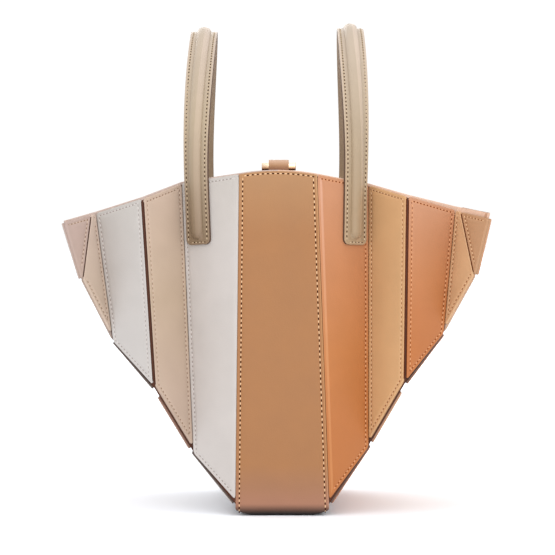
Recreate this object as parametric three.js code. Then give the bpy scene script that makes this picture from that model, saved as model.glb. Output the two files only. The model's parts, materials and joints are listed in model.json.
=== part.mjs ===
import * as THREE from 'three';

// Accordion tote bag, in millimetres: +Z up, +X right as its pleated end is faced, +Y towards the far end.

// Plan of the bag
const HALF_LENGTH = 133;      // middle plane to the ridges of an end wall
const PLEAT_DEPTH = 34;       // ridges to valleys of an end wall, at the rim
const CORNER_RIDGE_IN = 3;    // how far the foot of the last ridge stands behind the others
const TIP_IN = 4;             // how far the wing tip stands behind the ridges
const CORNER_TOP = 4;         // width of a corner panel's facet at the rim

// Fold lines outward from the centre band: distance from the middle and height, at rim and foot,
// and how far the panels' tops stay below the rim there
const FOLDS = {
  left: [
    { fold: 'band edge', rimX: 29.9, rimZ: 267.5, drop: 1.0, footX: 32.8, footZ: 9.1 },
    { fold: 'inner valley', rimX: 75.7, rimZ: 260.7, drop: 1.2, footX: 66.6, footZ: 48.7 },
    { fold: 'ridge', rimX: 105.5, rimZ: 248.9, drop: 1.6, footX: 96.0, footZ: 99.8 },
    { fold: 'outer valley', rimX: 143.7, rimZ: 237.1, drop: 1.8, footX: 130.0, footZ: 136.9 },
    { fold: 'wing tip', rimX: 167.2, rimZ: 230.4, drop: 1.8, footX: 153.2, footZ: 184.8 },
  ],
  right: [
    { fold: 'band edge', rimX: 30.8, rimZ: 267.1, drop: 1.0, footX: 40.2, footZ: 9.1 },
    { fold: 'inner valley', rimX: 72.1, rimZ: 259.4, drop: 1.2, footX: 72.0, footZ: 53.4 },
    { fold: 'ridge', rimX: 101.5, rimZ: 250.7, drop: 1.7, footX: 99.5, footZ: 103.7 },
    { fold: 'outer valley', rimX: 140.7, rimZ: 241.3, drop: 3.3, footX: 131.3, footZ: 143.2 },
    { fold: 'wing tip', rimX: 166.1, rimZ: 236.3, drop: 4.4, footX: 154.6, footZ: 187.9 },
  ],
};

// Leather
const GAP = 0.3;              // between pieces that lie on each other
const SEAM = 0.5;             // a panel's edge to the fold it ends at
const VALLEY_SEAM = 0.2;      // a panel's face to the middle of the valley it ends in
const PANEL = 2.0;            // thickness of a wall panel
const UNDER_PANEL = { main: 2.7, side: 2.7, outer: 2.7, corner: 1.2 };   // thickness under the wings
const PANEL_CORNER = 2.5;     // corner radius of a panel
const CORNER_SHARE = 0.4;     // most of a short side that a rounded corner takes
const BAND_DROP = 1.0;        // the body's rim above the centre band's ends
const WALL_INWARD = 2.0;      // the body's leather, measured along Y
const FLOOR_INWARD = 2.2;     // the body's leather, measured along Z
const TIP_INWARD = 2.0;       // the body's leather at the wing tips, measured along X

// Where a panel stops further from a fold than a seam, at its inner and its outer end
const FOOT_MARGIN = { main: [3.4, 0.3], side: [1.3, 1.3], outer: [2.2, 0.5] };
const UNDER_MARGIN = { main: [1.5, 0.5], side: [3.2, 8.0], outer: [0.5, 2.5] };
const TIP_REACH = 0.8;        // how far a tip panel runs past its fold, over the edge of the end panel

// Centre band, running down one end wall, under the base and up the other
const BAND = 2.2;             // thickness
const BAND_ARCH = 2.7;        // rise of the rim over the middle of the band
const BAND_FOOT_DROP = 2.3;   // the band's edges at the foot, below the folds beside them
const BASE_BOW = 4.3;         // rise of the base from its flat to the band's edges
const BASE_FLAT = 0.5;        // flat share of the base's width
const BASE_CORNER = 5;        // radius of the body where the end wall turns under, at the middle
const CORNER_STEPS = 5;
const BAND_STATIONS = 10;

// Handles, each arching from the near end wall to the far one
const HANDLE_WIDTH = { foot: 22.8, top: 21.2 };
const HANDLE_FLANGE = 2.4;    // thickness of the flat edges
const HANDLE_CORE = 11;       // width of the raised core
const HANDLE_CORE_RISE = 4;
const HANDLE_FOOT_CORNER = 4.5;
const HANDLE_CORE_FADE = 9;   // length over which the core sinks into the foot
const HANDLE_FOOT_Z = 211.3;
const HANDLE_LEAVE_Z = 260.3;   // where the strap leaves its panel
const HANDLE_PLACES = {
  left: { footX: 61.0, leaveX: 62.9, topX: 59.3, topZ: 380.1 },
  right: { footX: 59.8, leaveX: 60.6, topX: 58.9, topZ: 383.0 },
};
const HANDLE_LEAN = { outward: 2.2, inward: 10, rise: 58 };   // first pull of the arch, from the rim
const HANDLE_CROWN = 56;      // last pull of the arch, along Y
const HANDLE_FOOT_STEPS = 9;
const HANDLE_ARCH_STEPS = 22;
const HANDLE_ACROSS = 12;

// Closure: a leather tab inside the near rim with a bar through its loop
const TAB_WIDTH = 15.6;
const TAB_LEATHER = 1.8;
const TAB_STEM = 3.4;
const TAB_TOP = 277.9;
const TAB_FOOT = 238.3;
const CLOSURE_X = 1.0;
const BAR_LENGTH = 26.6;
const BAR_SIZE = 6.2;
const BAR_CORNER = 1.6;

const LEATHER = {
  cream: 0xd3cbc4,
  sand: 0xc7ad99,
  orange: 0xcd8653,
  camel: 0xcd9b70,
  tan: 0xbd8961,
  beige: 0xc9b49c,
  lining: 0x9a6a4a,
};
const SIDE_COLOURS = { left: ['cream', 'sand'], right: ['orange', 'camel'] };
const SIDE_SIGN = { left: -1, right: 1 };
const END_SIGN = { near: 1, far: -1 };

const point = (x, y, z) => new THREE.Vector3(x, y, z);

function leather(colour, roughness = 0.62) {
  return new THREE.MeshStandardMaterial({ color: LEATHER[colour], roughness, metalness: 0 });
}

function centreOf(points) {
  const sum = points.reduce((total, p) => total.add(p), point(0, 0, 0));
  return sum.divideScalar(points.length);
}

// Height of a flat facet's plane along Y, at a given X and Z
function depthOnPlane(plane, x, z) {
  return -(plane.normal.x * x + plane.normal.z * z + plane.constant) / plane.normal.y;
}

// Rim and foot points of one side at the near end, the rim's point over the corner panel's outer end, and
// the drop of the panels at each rim point. Feet lie where the facets between folds stay flat.
function foldPoints(side) {
  const ridge = -HALF_LENGTH;
  const valley = -HALF_LENGTH + PLEAT_DEPTH;
  const rimDepths = [ridge, valley, ridge, valley, ridge + TIP_IN];
  const rows = FOLDS[side];
  const rims = rows.map((row, i) => point(row.rimX, rimDepths[i], row.rimZ));
  const feet = [point(rows[0].footX, ridge, rows[0].footZ)];
  for (let i = 1; i < rows.length - 1; i += 1) {
    const plane = new THREE.Plane().setFromCoplanarPoints(feet[i - 1], rims[i], rims[i - 1]);
    const { footX, footZ } = rows[i];
    feet.push(point(footX, depthOnPlane(plane, footX, footZ), footZ));
  }
  const last = rows[rows.length - 1];
  feet.push(point(last.footX, ridge + CORNER_RIDGE_IN, last.footZ));
  const corner = new THREE.Plane().setFromCoplanarPoints(feet[3], feet[4], rims[3]);
  const share = CORNER_TOP / (rims[4].x - rims[3].x);
  const apex = rims[3].clone().lerp(rims[4], share);
  apex.y = depthOnPlane(corner, apex.x, apex.z);
  const drops = new Map(rims.map((rim, i) => [rim, rows[i].drop]));
  drops.set(apex, rows[3].drop + (rows[4].drop - rows[3].drop) * share);
  return { rims, feet, apex, drops };
}

const even = (margin) => [margin, margin];

// Flat facets of one side, corners counter-clockwise as seen from outside
function facetsOf({ rims, feet, apex, drops }) {
  const farRim = point(rims[4].x, -rims[4].y, rims[4].z);
  const farFeet = feet.map((p) => point(p.x, -p.y, p.z));
  const wallNames = ['main', 'side', 'outer'];
  const walls = wallNames.map((name, i) => ({
    name,
    corners: [feet[i], feet[i + 1], rims[i + 1], rims[i]],
    margins: [FOOT_MARGIN[name]],
  }));
  walls.push({ name: 'corner', corners: [feet[3], feet[4], apex, rims[3]], margins: [] });
  walls.push({ name: 'tip', corners: [feet[4], rims[4], apex], margins: [even(-TIP_REACH)] });
  const underNames = ['main', 'side', 'outer', 'corner'];
  const unders = underNames.map((name, i) => {
    const ends = UNDER_MARGIN[name];
    return {
      name,
      corners: [feet[i], farFeet[i], farFeet[i + 1], feet[i + 1]],
      margins: ends ? [even(ends[0]), undefined, even(ends[1])] : [],
    };
  });
  const endMargins = [undefined, even(0), even(drops.get(rims[4])), even(0)];
  const end = { name: 'end', corners: [feet[4], farFeet[4], farRim, rims[4]], margins: endMargins };
  const facets = [...walls, ...unders, end];
  facets.forEach((facet) => {
    facet.plane = new THREE.Plane().setFromCoplanarPoints(...facet.corners.slice(0, 3));
    facet.centre = centreOf(facet.corners);
  });
  return { walls, unders, end, facets, drops };
}

// Distances a panel keeps from the ends of one edge: in a valley it leaves room for the panel facing it
function edgeMargins(facet, p, q, fold, thickness) {
  if (fold.drops.has(p) && fold.drops.has(q)) {
    return [fold.drops.get(p), fold.drops.get(q)];
  }
  const shares = (other) => other !== facet && other.corners.includes(p) && other.corners.includes(q);
  const neighbour = fold.facets.find(shares);
  if (!neighbour || facet.plane.distanceToPoint(neighbour.centre) <= 0) {
    return even(SEAM);
  }
  const turn = facet.plane.normal.angleTo(neighbour.plane.normal);
  return even(VALLEY_SEAM + (GAP + thickness) * Math.tan(turn / 2));
}

// Outline of a facet in its own plane, each edge moved in by the margins at its two ends
function insetOutline(corners2D, margins) {
  const lines = corners2D.map((p, i) => {
    const q = corners2D[(i + 1) % corners2D.length];
    const edge = q.clone().sub(p).normalize();
    const inward = new THREE.Vector2(-edge.y, edge.x);
    const from = p.clone().addScaledVector(inward, margins[i][0]);
    const to = q.clone().addScaledVector(inward, margins[i][1]);
    return { from, along: to.sub(from).normalize() };
  });
  return lines.map((line, i) => {
    const before = lines[(i + lines.length - 1) % lines.length];
    const apart = line.from.clone().sub(before.from);
    const run = apart.cross(line.along) / before.along.cross(line.along);
    return before.from.clone().addScaledVector(before.along, run);
  });
}

function roundedShape(outline, radius) {
  const shape = new THREE.Shape();
  outline.forEach((corner, i) => {
    const before = outline[(i + outline.length - 1) % outline.length];
    const after = outline[(i + 1) % outline.length];
    const shorter = Math.min(corner.distanceTo(before), corner.distanceTo(after));
    const reach = Math.min(radius, shorter * CORNER_SHARE);
    const start = corner.clone().add(before.clone().sub(corner).setLength(reach));
    const end = corner.clone().add(after.clone().sub(corner).setLength(reach));
    if (i === 0) {
      shape.moveTo(start.x, start.y);
    } else {
      shape.lineTo(start.x, start.y);
    }
    shape.quadraticCurveTo(corner.x, corner.y, end.x, end.y);
  });
  shape.closePath();
  return shape;
}

// Leather panel lying on a facet of the body
function panel(facet, fold, thickness) {
  const { corners, plane } = facet;
  const along = corners[1].clone().sub(corners[0]).normalize();
  const up = plane.normal.clone().cross(along);
  const flat = corners.map((p) => {
    const reach = p.clone().sub(corners[0]);
    return new THREE.Vector2(reach.dot(along), reach.dot(up));
  });
  const margins = corners.map((p, i) => {
    const q = corners[(i + 1) % corners.length];
    return facet.margins[i] ?? edgeMargins(facet, p, q, fold, thickness);
  });
  const shape = roundedShape(insetOutline(flat, margins), PANEL_CORNER);
  const options = { depth: thickness, bevelEnabled: false, curveSegments: 3 };
  const geometry = new THREE.ExtrudeGeometry(shape, options);
  const base = corners[0].clone().addScaledVector(plane.normal, GAP);
  const frame = new THREE.Matrix4().makeBasis(along, up, plane.normal).setPosition(base);
  return geometry.applyMatrix4(frame);
}

// Mirror image in X or Y, its triangles still facing out
function mirrored(geometry, signX, signY) {
  const list = geometry.getAttribute('position');
  const turned = signX * signY < 0;
  const values = [];
  for (let i = 0; i < list.count; i += 3) {
    const order = turned ? [i, i + 2, i + 1] : [i, i + 1, i + 2];
    order.forEach((k) => values.push(signX * list.getX(k), signY * list.getY(k), list.getZ(k)));
  }
  return trianglesFrom(values);
}

function trianglesFrom(values) {
  const geometry = new THREE.BufferGeometry();
  geometry.setAttribute('position', new THREE.Float32BufferAttribute(values, 3));
  geometry.computeVertexNormals();
  return geometry;
}

// Closed skin between two matching grids of points. Each row of a grid is one cross-section.
function skin(outer, inner, endsClosed = true) {
  const values = [];
  const triangle = (a, b, c) => {
    const area = b.clone().sub(a).cross(c.clone().sub(a)).length();
    if (area > 1e-6) {
      [a, b, c].forEach((p) => values.push(p.x, p.y, p.z));
    }
  };
  const quad = (a, b, c, d) => {
    triangle(a, b, c);
    triangle(a, c, d);
  };
  const rows = outer.length - 1;
  const steps = outer[0].length - 1;
  for (let i = 0; i < rows; i += 1) {
    for (let j = 0; j < steps; j += 1) {
      quad(outer[i][j], outer[i][j + 1], outer[i + 1][j + 1], outer[i + 1][j]);
      quad(inner[i + 1][j], inner[i + 1][j + 1], inner[i][j + 1], inner[i][j]);
    }
    quad(outer[i][0], outer[i + 1][0], inner[i + 1][0], inner[i][0]);
    quad(outer[i + 1][steps], outer[i][steps], inner[i][steps], inner[i + 1][steps]);
  }
  if (endsClosed) {
    for (let j = 0; j < steps; j += 1) {
      quad(outer[0][j + 1], outer[0][j], inner[0][j], inner[0][j + 1]);
      quad(outer[rows][j], outer[rows][j + 1], inner[rows][j + 1], inner[rows][j]);
    }
  }
  return trianglesFrom(values);
}

// Cross-section from the near rim under the base to the far rim, from its near half
function crossSection(nearHalf) {
  const base = nearHalf[nearHalf.length - 1];
  const farHalf = nearHalf.map((p) => point(p.x, -p.y, p.z)).reverse();
  return [...nearHalf, point(base.x, 0, base.z), ...farHalf];
}

// Corner of an end wall turning under the base, grown by an offset
function footCorner(foot, radius, offset) {
  const centreY = foot.y + radius;
  const centreZ = foot.z + radius;
  const reach = radius + offset;
  const points = [];
  for (let k = 0; k <= CORNER_STEPS; k += 1) {
    const turn = (k / CORNER_STEPS) * (Math.PI / 2);
    points.push(point(foot.x, centreY - reach * Math.cos(turn), centreZ - reach * Math.sin(turn)));
  }
  return points;
}

// Rim and foot of the body under the centre band, from its left edge to its right one
function bandStations(folds) {
  const edges = ['left', 'right'].map((side) => ({
    rim: mirrorX(folds[side].rims[0], SIDE_SIGN[side]),
    foot: mirrorX(folds[side].feet[0], SIDE_SIGN[side]),
  }));
  const stations = [];
  for (let k = 0; k <= BAND_STATIONS; k += 1) {
    const share = k / BAND_STATIONS;
    const off = Math.abs(2 * share - 1);
    const rim = edges[0].rim.clone().lerp(edges[1].rim, share);
    const foot = edges[0].foot.clone().lerp(edges[1].foot, share);
    const curl = Math.max(0, off - BASE_FLAT) / (1 - BASE_FLAT);
    rim.z += BAND_ARCH * (1 - off * off);
    foot.z += BASE_BOW * (curl * curl - 1) - BAND_FOOT_DROP;
    stations.push({ rim, foot, radius: BASE_CORNER * (1 - curl) });
  }
  return stations;
}

function mirrorX(p, sign) {
  return point(p.x * sign, p.y, p.z);
}

// Inner body of the bag: pleated end walls, folded floor and wing ends as one leather skin
function bodyGeometry(folds, stations) {
  const sideSections = (side) => {
    const { rims, feet, apex } = folds[side];
    const pairs = rims.map((rim, i) => [rim, feet[i]]);
    pairs.splice(4, 0, [apex, feet[4]]);
    return pairs.map(([rim, foot]) => ({
      rim: mirrorX(rim, SIDE_SIGN[side]),
      foot: mirrorX(foot, SIDE_SIGN[side]),
      radius: 0,
    }));
  };
  const sections = [
    ...sideSections('left').reverse(),
    ...stations.slice(1, -1),
    ...sideSections('right'),
  ];
  const outerHalf = ({ rim, foot, radius }) => [rim, ...footCorner(foot, radius, 0)];
  const inwardX = (p) => {
    const atTip = p.x < -FOLDS.left[4].footX + 1 || p.x > FOLDS.right[4].footX - 1;
    return atTip ? -Math.sign(p.x) * TIP_INWARD : 0;
  };
  const innerHalf = (section) => outerHalf(section).map((p, k) => {
    return point(p.x + inwardX(p), p.y + WALL_INWARD, p.z + (k === 0 ? 0 : FLOOR_INWARD));
  });
  const closeAcross = (half) => crossSection(half.map((p) => point(p.x, 0, p.z)));
  const grid = (halfOf) => {
    const halves = sections.map(halfOf);
    const first = closeAcross(halves[0]);
    const last = closeAcross(halves[halves.length - 1]);
    return [first, ...halves.map(crossSection), last];
  };
  return skin(grid(outerHalf), grid(innerHalf), false);
}

function bandGeometry(stations) {
  const grid = (offset) => stations.map(({ rim, foot, radius }) => {
    const top = point(rim.x, rim.y - offset, rim.z - BAND_DROP);
    return crossSection([top, ...footCorner(foot, radius, offset)]);
  });
  return skin(grid(GAP + BAND), grid(GAP));
}

// Middle line of the near half of a handle: its turn, its width and its distance from the foot's end
function handleLine(main, place) {
  const { normal } = main.plane;
  const { footX, leaveX, topX, topZ } = place;
  const lift = GAP + PANEL + GAP;
  const onPanel = (x, z) => {
    return point(x, depthOnPlane(main.plane, x, z), z).addScaledVector(normal, lift);
  };
  const foot = onPanel(footX, HANDLE_FOOT_Z);
  const leave = onPanel(leaveX, HANDLE_LEAVE_Z);
  const panelTurn = Math.atan2(normal.x, -normal.y);
  const arch = new THREE.CubicBezierCurve3(
    leave,
    leave.clone().add(point(HANDLE_LEAN.outward, HANDLE_LEAN.inward, HANDLE_LEAN.rise)),
    point(topX, -HANDLE_CROWN, topZ),
    point(topX, 0, topZ),
  );
  const line = [];
  const up = leave.clone().sub(foot);
  for (let k = 0; k < HANDLE_FOOT_STEPS; k += 1) {
    const share = (k / HANDLE_FOOT_STEPS) ** 1.5;
    line.push({ at: foot.clone().addScaledVector(up, share), along: up, ease: 1 });
  }
  for (let k = 0; k <= HANDLE_ARCH_STEPS; k += 1) {
    const share = k / HANDLE_ARCH_STEPS;
    const ease = 1 - share * share * (3 - 2 * share);
    line.push({ at: arch.getPoint(share), along: arch.getTangent(share), ease });
  }
  let run = 0;
  line.forEach((station, k) => {
    run += k > 0 ? station.at.distanceTo(line[k - 1].at) : 0;
    station.run = run;
    station.turn = panelTurn * station.ease;
    station.width = HANDLE_WIDTH.top + (HANDLE_WIDTH.foot - HANDLE_WIDTH.top) * station.ease;
  });
  return line;
}

// Strap with flat edges and a raised core: its face and its back, near half
function handleGeometry(main, place) {
  const line = handleLine(main, place);
  const half = line.map((station) => {
    const along = station.along.clone().normalize();
    const across = point(Math.cos(station.turn), Math.sin(station.turn), 0);
    across.addScaledVector(along, -across.dot(along)).normalize();
    const outward = across.clone().cross(along);
    const short = Math.max(0, HANDLE_FOOT_CORNER - station.run);
    const corner = HANDLE_FOOT_CORNER - Math.sqrt(HANDLE_FOOT_CORNER ** 2 - short ** 2);
    const width = station.width - 2 * corner;
    const rise = HANDLE_CORE_RISE * Math.min(1, station.run / HANDLE_CORE_FADE);
    const face = [];
    const back = [];
    for (let j = 0; j <= HANDLE_ACROSS; j += 1) {
      const offset = width * (j / HANDLE_ACROSS - 0.5);
      const inCore = Math.max(0, 1 - (2 * offset / HANDLE_CORE) ** 2);
      const height = HANDLE_FLANGE + rise * Math.sqrt(inCore);
      const seat = station.at.clone().addScaledVector(across, offset);
      face.push(seat.clone().addScaledVector(outward, height));
      back.push(seat);
    }
    return { face, back };
  });
  const flipY = (row) => row.map((p) => point(p.x, -p.y, p.z));
  const whole = (layer) => {
    const near = half.map((section) => section[layer]);
    const far = near.slice(0, -1).map(flipY).reverse();
    return [...near, ...far];
  };
  return skin(whole('face'), whole('back'));
}

// Leather tab standing on the inside of the near wall, its top looped round the bar
function closureGeometries() {
  const hole = BAR_SIZE / 2 + GAP;
  const loop = hole + TAB_LEATHER;
  const centreZ = TAB_TOP - loop;
  const backY = -HALF_LENGTH + WALL_INWARD + GAP;
  const square = (half) => [[-1, -1], [1, -1], [1, 1], [-1, 1]].map(([u, v]) => {
    return new THREE.Vector2(u * half, v * half);
  });
  const profile = new THREE.Shape();
  profile.moveTo(-loop, -(centreZ - TAB_FOOT));
  profile.lineTo(-loop + TAB_STEM, -(centreZ - TAB_FOOT));
  profile.lineTo(-loop + TAB_STEM, -loop);
  profile.quadraticCurveTo(loop, -loop, loop, 0);
  profile.quadraticCurveTo(loop, loop, 0, loop);
  profile.quadraticCurveTo(-loop, loop, -loop, 0);
  profile.closePath();
  profile.holes.push(roundedShape(square(hole), BAR_CORNER));
  const options = { depth: TAB_WIDTH, bevelEnabled: false, curveSegments: 6 };
  const tab = new THREE.ExtrudeGeometry(profile, options);
  const barProfile = roundedShape(square(BAR_SIZE / 2), BAR_CORNER);
  const barOptions = { depth: BAR_LENGTH, bevelEnabled: false, curveSegments: 4 };
  const bar = new THREE.ExtrudeGeometry(barProfile, barOptions);
  const place = (geometry, length) => {
    const frame = new THREE.Matrix4().makeBasis(point(0, 1, 0), point(0, 0, 1), point(1, 0, 0));
    frame.setPosition(CLOSURE_X - length / 2, backY + loop, centreZ);
    return geometry.applyMatrix4(frame);
  };
  return { tab: place(tab, TAB_WIDTH), bar: place(bar, BAR_LENGTH) };
}

const bag = new THREE.Group();
bag.name = 'accordion_tote_bag';

function add(name, geometry, material) {
  const mesh = new THREE.Mesh(geometry, material);
  mesh.name = name;
  bag.add(mesh);
}

const folds = { left: foldPoints('left'), right: foldPoints('right') };
const stations = bandStations(folds);
add('body', bodyGeometry(folds, stations), leather('lining', 0.75));
add('centre_band', bandGeometry(stations), leather('tan'));

Object.entries(SIDE_SIGN).forEach(([side, signX]) => {
  const [pale, deep] = SIDE_COLOURS[side];
  const colours = { main: pale, side: deep, outer: pale, corner: deep, tip: deep, end: pale };
  const fold = facetsOf(folds[side]);
  Object.entries(END_SIGN).forEach(([end, signY]) => {
    fold.walls.forEach((facet) => {
      const geometry = mirrored(panel(facet, fold, PANEL), signX, signY);
      add(`${side}_${end}_${facet.name}_panel`, geometry, leather(colours[facet.name]));
    });
  });
  fold.unders.forEach((facet) => {
    const geometry = mirrored(panel(facet, fold, UNDER_PANEL[facet.name]), signX, 1);
    add(`${side}_under_${facet.name}_panel`, geometry, leather(colours[facet.name]));
  });
  add(`${side}_end_panel`, mirrored(panel(fold.end, fold, PANEL), signX, 1), leather(colours.end));
  const handle = handleGeometry(fold.walls[0], HANDLE_PLACES[side]);
  add(`${side}_handle`, mirrored(handle, signX, 1), leather('beige'));
});

const closure = closureGeometries();
add('closure_tab', closure.tab, leather('tan'));
const gold = new THREE.MeshStandardMaterial({ color: 0xd8b890, roughness: 0.3, metalness: 1 });
add('closure_bar', closure.bar, gold);

export default bag;
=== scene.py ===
"""Accordion tote bag in panelled leather, on a pale studio floor.

Metres, +Z up, +Y away from the camera.
"""

import json
import math

import bmesh
import bpy
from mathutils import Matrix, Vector


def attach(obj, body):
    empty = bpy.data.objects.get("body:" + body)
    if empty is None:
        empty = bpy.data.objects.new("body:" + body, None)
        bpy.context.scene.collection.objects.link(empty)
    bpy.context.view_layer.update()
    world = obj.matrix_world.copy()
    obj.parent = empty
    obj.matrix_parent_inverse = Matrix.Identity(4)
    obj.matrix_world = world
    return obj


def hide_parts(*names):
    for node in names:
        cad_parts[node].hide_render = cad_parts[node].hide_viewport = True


MM = 0.001

# Camera: a picture 555 pixels square, with the bag's near ridges HALF_LENGTH in front of its middle
IMAGE_PX = 555
MM_PER_PX = 0.78
FLOOR_PX = 516
HORIZON_PX = 185
HALF_LENGTH = 133 * MM
CAMERA_DISTANCE = 3.0
SENSOR_MM = 36.0
CLIP_END = 100

# Leather: sRGB colours by height in metres, which paint some light and shade into the leather, and
# those of its thread and of its needle holes, whose dark paints the shade in them
ORANGE_STITCHES = {"thread": (208, 150, 106), "hole": (122, 62, 26)}
LEATHERS = {
    "cream_leather": {
        "tones": [(0.20, (185, 178, 173)), (0.27, (178, 171, 164))],
        "thread": (196, 189, 184),
        "hole": (152, 142, 136),
    },
    "sand_leather": {
        "tones": [(0.09, (177, 155, 138)), (0.17, (174, 152, 130)), (0.26, (183, 161, 144))],
        "thread": (190, 168, 148),
        "hole": (138, 113, 96),
    },
    "orange_leather": {
        "tones": [
            (0.06, (170, 103, 52)),
            (0.13, (177, 113, 64)),
            (0.19, (179, 119, 78)),
            (0.25, (180, 126, 92)),
        ],
        **ORANGE_STITCHES,
    },
    # The outer orange panels: the same orange leather, its tones set apart to paint the light that
    # falls on them
    "orange_outer_leather": {
        "tones": [
            (0.13, (169, 101, 51)),
            (0.16, (170, 105, 59)),
            (0.19, (175, 115, 74)),
            (0.25, (181, 130, 99)),
        ],
        **ORANGE_STITCHES,
    },
    "camel_leather": {
        "tones": [(0.09, (195, 153, 109)), (0.17, (187, 146, 103)), (0.26, (188, 145, 102))],
        "thread": (206, 166, 126),
        "hole": (136, 90, 58),
    },
    "tan_leather": {
        # Painted shadow: near black just above the floor, where the band turns under the base; paler at
        # the top of the band, a painted highlight
        "tones": [
            (0.0020, (30, 20, 15)),
            (0.0055, (104, 71, 55)),
            (0.0090, (152, 106, 82)),
            (0.022, (147, 102, 71)),
            (0.040, (150, 102, 61)),
            (0.22, (150, 102, 60)),
            (0.27, (158, 116, 77)),
        ],
        "thread": (218, 180, 140),
        "hole": (60, 26, 10),
    },
    # Handle leathers: darker towards the feet, painted shade
    "beige_leather": {
        "tones": [(0.20, (114, 92, 68)), (0.31, (163, 146, 123)), (0.37, (172, 156, 138))],
        "thread": (190, 168, 138),
        "hole": (68, 48, 34),
    },
    "light_beige_leather": {
        "tones": [(0.24, (152, 129, 101)), (0.29, (157, 138, 114)), (0.37, (172, 156, 138))],
        "thread": (196, 174, 144),
        "hole": (78, 56, 40),
    },
}
LINING_TONES = [(0.05, (150, 106, 78)), (0.26, (176, 134, 106))]
# Painted shade: the tab darkens towards its foot behind the rim and is paler at its top; the bar's dark
# lower half is a painted reflection, its pale top a painted highlight
TAB_PAINTED_SHADE_TONES = [(0.2706, (122, 78, 48)), (0.2738, (157, 115, 80)), (0.2772, (184, 150, 126))]
GOLD_PAINTED_REFLECTION_TONES = [
    (0.2702, (96, 52, 20)),
    (0.2715, (130, 80, 40)),
    (0.2724, (206, 174, 142)),
    (0.2750, (224, 206, 184)),
]
TONE_TOP = 0.4

# Scales of a leather's red, green and blue: lit and shaded copies for some panels, painting the light
# and shade on them; paler stitch lines, partly the leather's own and partly a painted highlight; and
# painted highlights where light catches edges, rolls and cores
TINTS = {
    "plain": (1.0, 1.0, 1.0),
    "pressed": (1.08, 1.08, 1.08),
    # Lit and shaded copies of one leather for outer, corner and tip panels, painting the light and
    # shade on each
    "cream_outer": (0.94, 0.95, 0.95),
    "sand_corner": (1.10, 1.14, 1.23),
    "camel_corner": (1.07, 1.11, 1.25),
    "sand_tip": (0.86, 0.84, 0.95),
    "camel_tip": (0.79, 0.75, 0.83),
}
# Painted highlights: on the orange roll beside the band, the band's right edge, and the handles' edges
# and cores
PAINTED_HIGHLIGHT_TINTS = {
    "orange_leather": (1.16, 1.32, 1.65),
    "tan_leather": (1.30, 1.45, 1.60),
    "beige_leather": (1.12, 1.11, 1.16),
    "light_beige_leather": (1.18, 1.17, 1.20),
}

# Edge paint; the ridges' redder right colour paints light bounced from the orange panels
RIDGE_PAINT = {"left": (84, 58, 46), "right": (112, 54, 26)}
UNDER_EDGE_PAINT = {
    "cream_leather": (92, 80, 74),
    "sand_leather": (132, 102, 88),
    "orange_leather": (104, 84, 76),
    "camel_leather": (164, 126, 104),
}
# Handle edges: edge paint, darkened to also paint the shade along the straps' inner sides
HANDLE_EDGE_PAINT = (90, 70, 58)
RIM_PAINT = {"left": (184, 164, 154), "right": (206, 172, 150)}
SEAM_BROWN = (88, 56, 44)
PAINT = {"scale": 220, "shades": (0.88, 1.12), "specular": 0.1}
PAINT_ROUGHNESS = {"hole": 0.9, "edge": 0.6, "handle": 0.5, "rim": 0.5, "seam": 0.7}

# Surfaces
MOTTLE = {"scale": 45, "detail": 6, "seen": (0.3, 0.7), "value": (0.96, 1.02)}
LEATHER_GLOSS = {"roughness": (0.42, 0.60), "specular": 0.35}
GRAIN = {"scale": 950, "strength": 0.25, "depth": 0.2 * MM}
CREASES = {"scale": 34, "strength": 0.25, "depth": 1.0 * MM}
TWIST = {"scale": 900, "distortion": 1.5, "shade": 0.88, "roughness": 0.6}
GOLD_WEAR = {"scale": 160, "roughness": (0.18, 0.34)}

# Studio
SKY = {"horizon": 1.02, "zenith": 1.5}
FLOOR_COLOUR = (0.92, 0.95, 1.0, 1)
FLOOR_ROUGHNESS = 0.9
FLOOR_REACH = 12
AIM = (0, 0, 0.15)
SOFTBOXES = [
    {"name": "top_softbox", "location": (0, -0.4, 2.4), "size": (2.4, 2.0), "watts": 4},
    {"name": "front_softbox", "location": (0.5, -2.8, 0.9), "size": (2.0, 1.6), "watts": 25},
    {"name": "back_softbox", "location": (-0.5, 2.8, 0.9), "size": (2.0, 1.6), "watts": 28},
]

# Stitches
STITCH_SHARE = 0.5
STITCH_WIDTH = 0.85 * MM
STITCH_HEIGHT = 0.45 * MM
HOLE_SHARE = 0.27
HOLE_ACROSS = 0.6 * MM
HOLE_RISE = 0.08 * MM
STITCH_STATIONS = [(-0.5, 0.4), (-0.3, 1.0), (0.3, 1.0), (0.5, 0.4)]
STITCH_ARC = [math.radians(45 * k) for k in range(5)]
HOLE_ARC = [math.radians(60 * k) for k in range(6)]
GROOVE = 0.22 * MM
GROOVE_RINGS = (4, 5, 6)
PANEL_STITCH = {"inset": 2.7 * MM, "pitch": 3.6 * MM}
BAND_STITCH = {"inset": 2.9 * MM, "left": 3.8 * MM, "right": 4.25 * MM}
BAND_END_STITCH = {"inset": 1.9 * MM, "pitch": 4.05 * MM}
HANDLE_STITCH = {"inset": 2.3 * MM, "pitch": 3.6 * MM}

# Welding and smoothing, angles in degrees
WELD = {"made": 0.002 * MM, "frame": 0.01 * MM}
FLAT_ANGLE = 1
SMOOTH_ANGLE = {"made": 50, "frame": 40}
SHARP_ANGLE = 40
BEVEL = {"segments": 3, "profile": 0.5, "affect": "EDGES"}

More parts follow.
